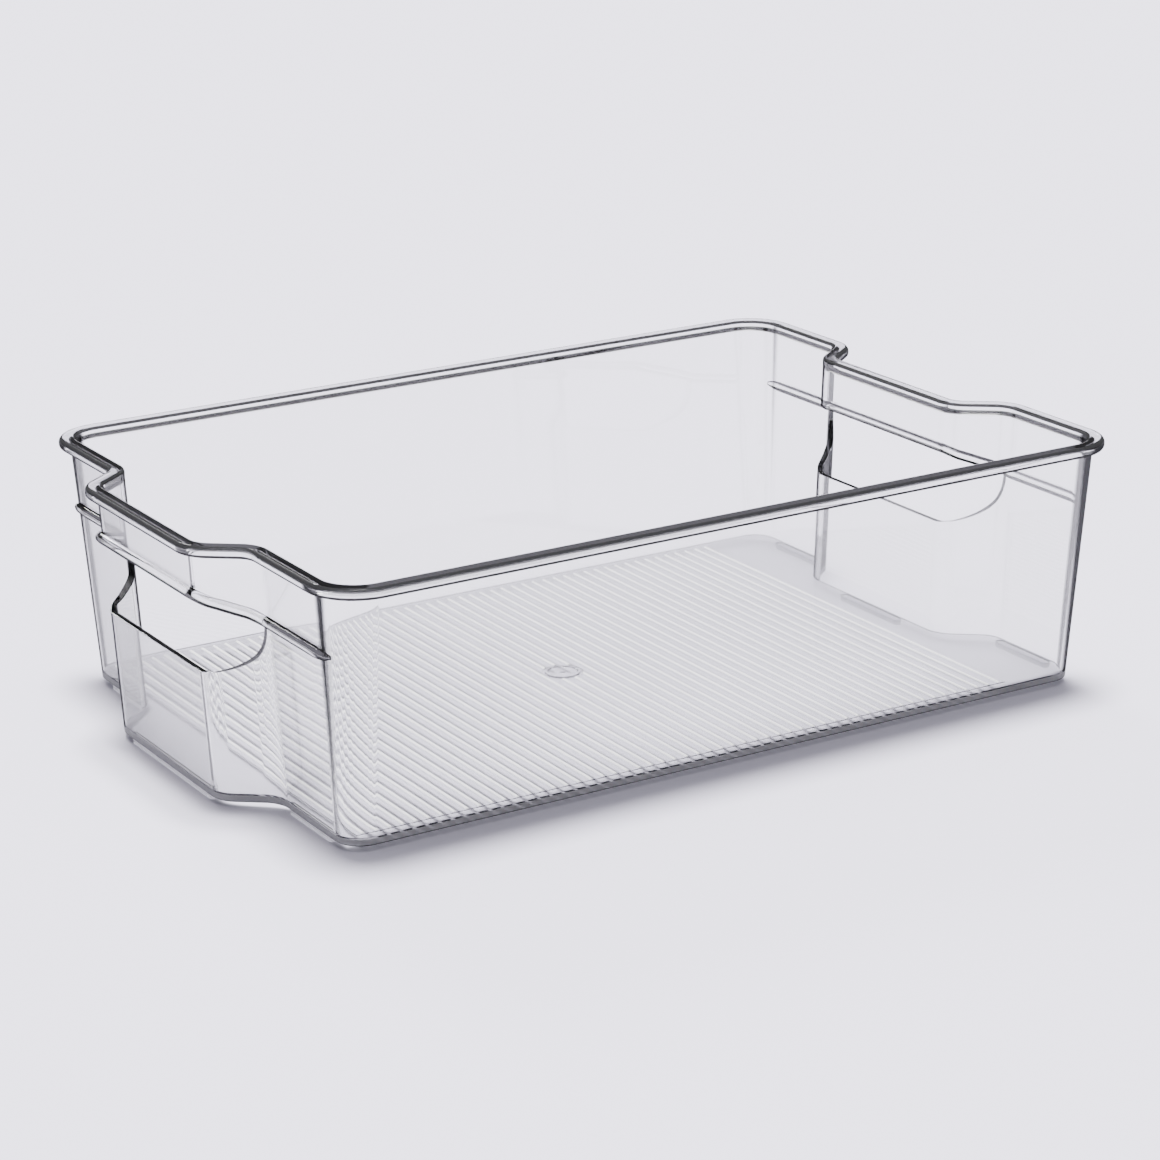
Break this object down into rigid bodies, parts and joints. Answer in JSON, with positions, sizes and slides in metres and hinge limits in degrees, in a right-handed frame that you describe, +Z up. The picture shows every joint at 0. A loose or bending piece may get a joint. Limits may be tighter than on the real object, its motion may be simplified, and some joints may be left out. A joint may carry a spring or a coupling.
{
  "type": "fridge bin",
  "caption": "Clear open-topped fridge storage bin with a rolled rim, a finger opening in each end, nesting end walls, a ribbed floor and low feet.",
  "frame": {"origin": "on the surface that the feet stand on, under the middle of the bin's overall length and width", "axes": "+X along the length towards the recessed end, +Y across the width, +Z up out of the open top"},
  "size_m": [0.32, 0.222, 0.09],
  "materials": {
    "clear_plastic": "polished transparent moulded plastic, faint grey tint, darker where seen edge on"
  },
  "bodies": {
    "root": {"floor_panel": "clear_plastic", "floor_rib_field": "clear_plastic", "front_rim": "clear_plastic", "front_wall": "clear_plastic", "gate_mark": "clear_plastic", "left_front_bend": "clear_plastic", "left_front_corner": "clear_plastic", "left_front_corner_rim": "clear_plastic", "left_front_foot": "clear_plastic", "left_front_grip_bend": "clear_plastic", "left_front_outer_panel": "clear_plastic", "left_grip": "clear_plastic", "left_ledge_rib": "clear_plastic", "left_middle_foot": "clear_plastic", "left_rear_bend": "clear_plastic", "left_rear_corner": "clear_plastic", "left_rear_corner_rim": "clear_plastic", "left_rear_foot": "clear_plastic", "left_rear_grip_bend": "clear_plastic", "left_rear_outer_panel": "clear_plastic", "left_rim": "clear_plastic", "left_sill_panel": "clear_plastic", "rear_rim": "clear_plastic", "rear_wall": "clear_plastic", "right_front_bend": "clear_plastic", "right_front_corner": "clear_plastic", "right_front_corner_rim": "clear_plastic", "right_front_foot": "clear_plastic", "right_front_grip_bend": "clear_plastic", "right_front_outer_panel": "clear_plastic", "right_grip": "clear_plastic", "right_ledge_rib": "clear_plastic", "right_middle_foot": "clear_plastic", "right_rear_bend": "clear_plastic", "right_rear_corner": "clear_plastic", "right_rear_corner_rim": "clear_plastic", "right_rear_foot": "clear_plastic", "right_rear_grip_bend": "clear_plastic", "right_rear_outer_panel": "clear_plastic", "right_rim": "clear_plastic", "right_sill_panel": "clear_plastic"}
  },
  "joints": []
}
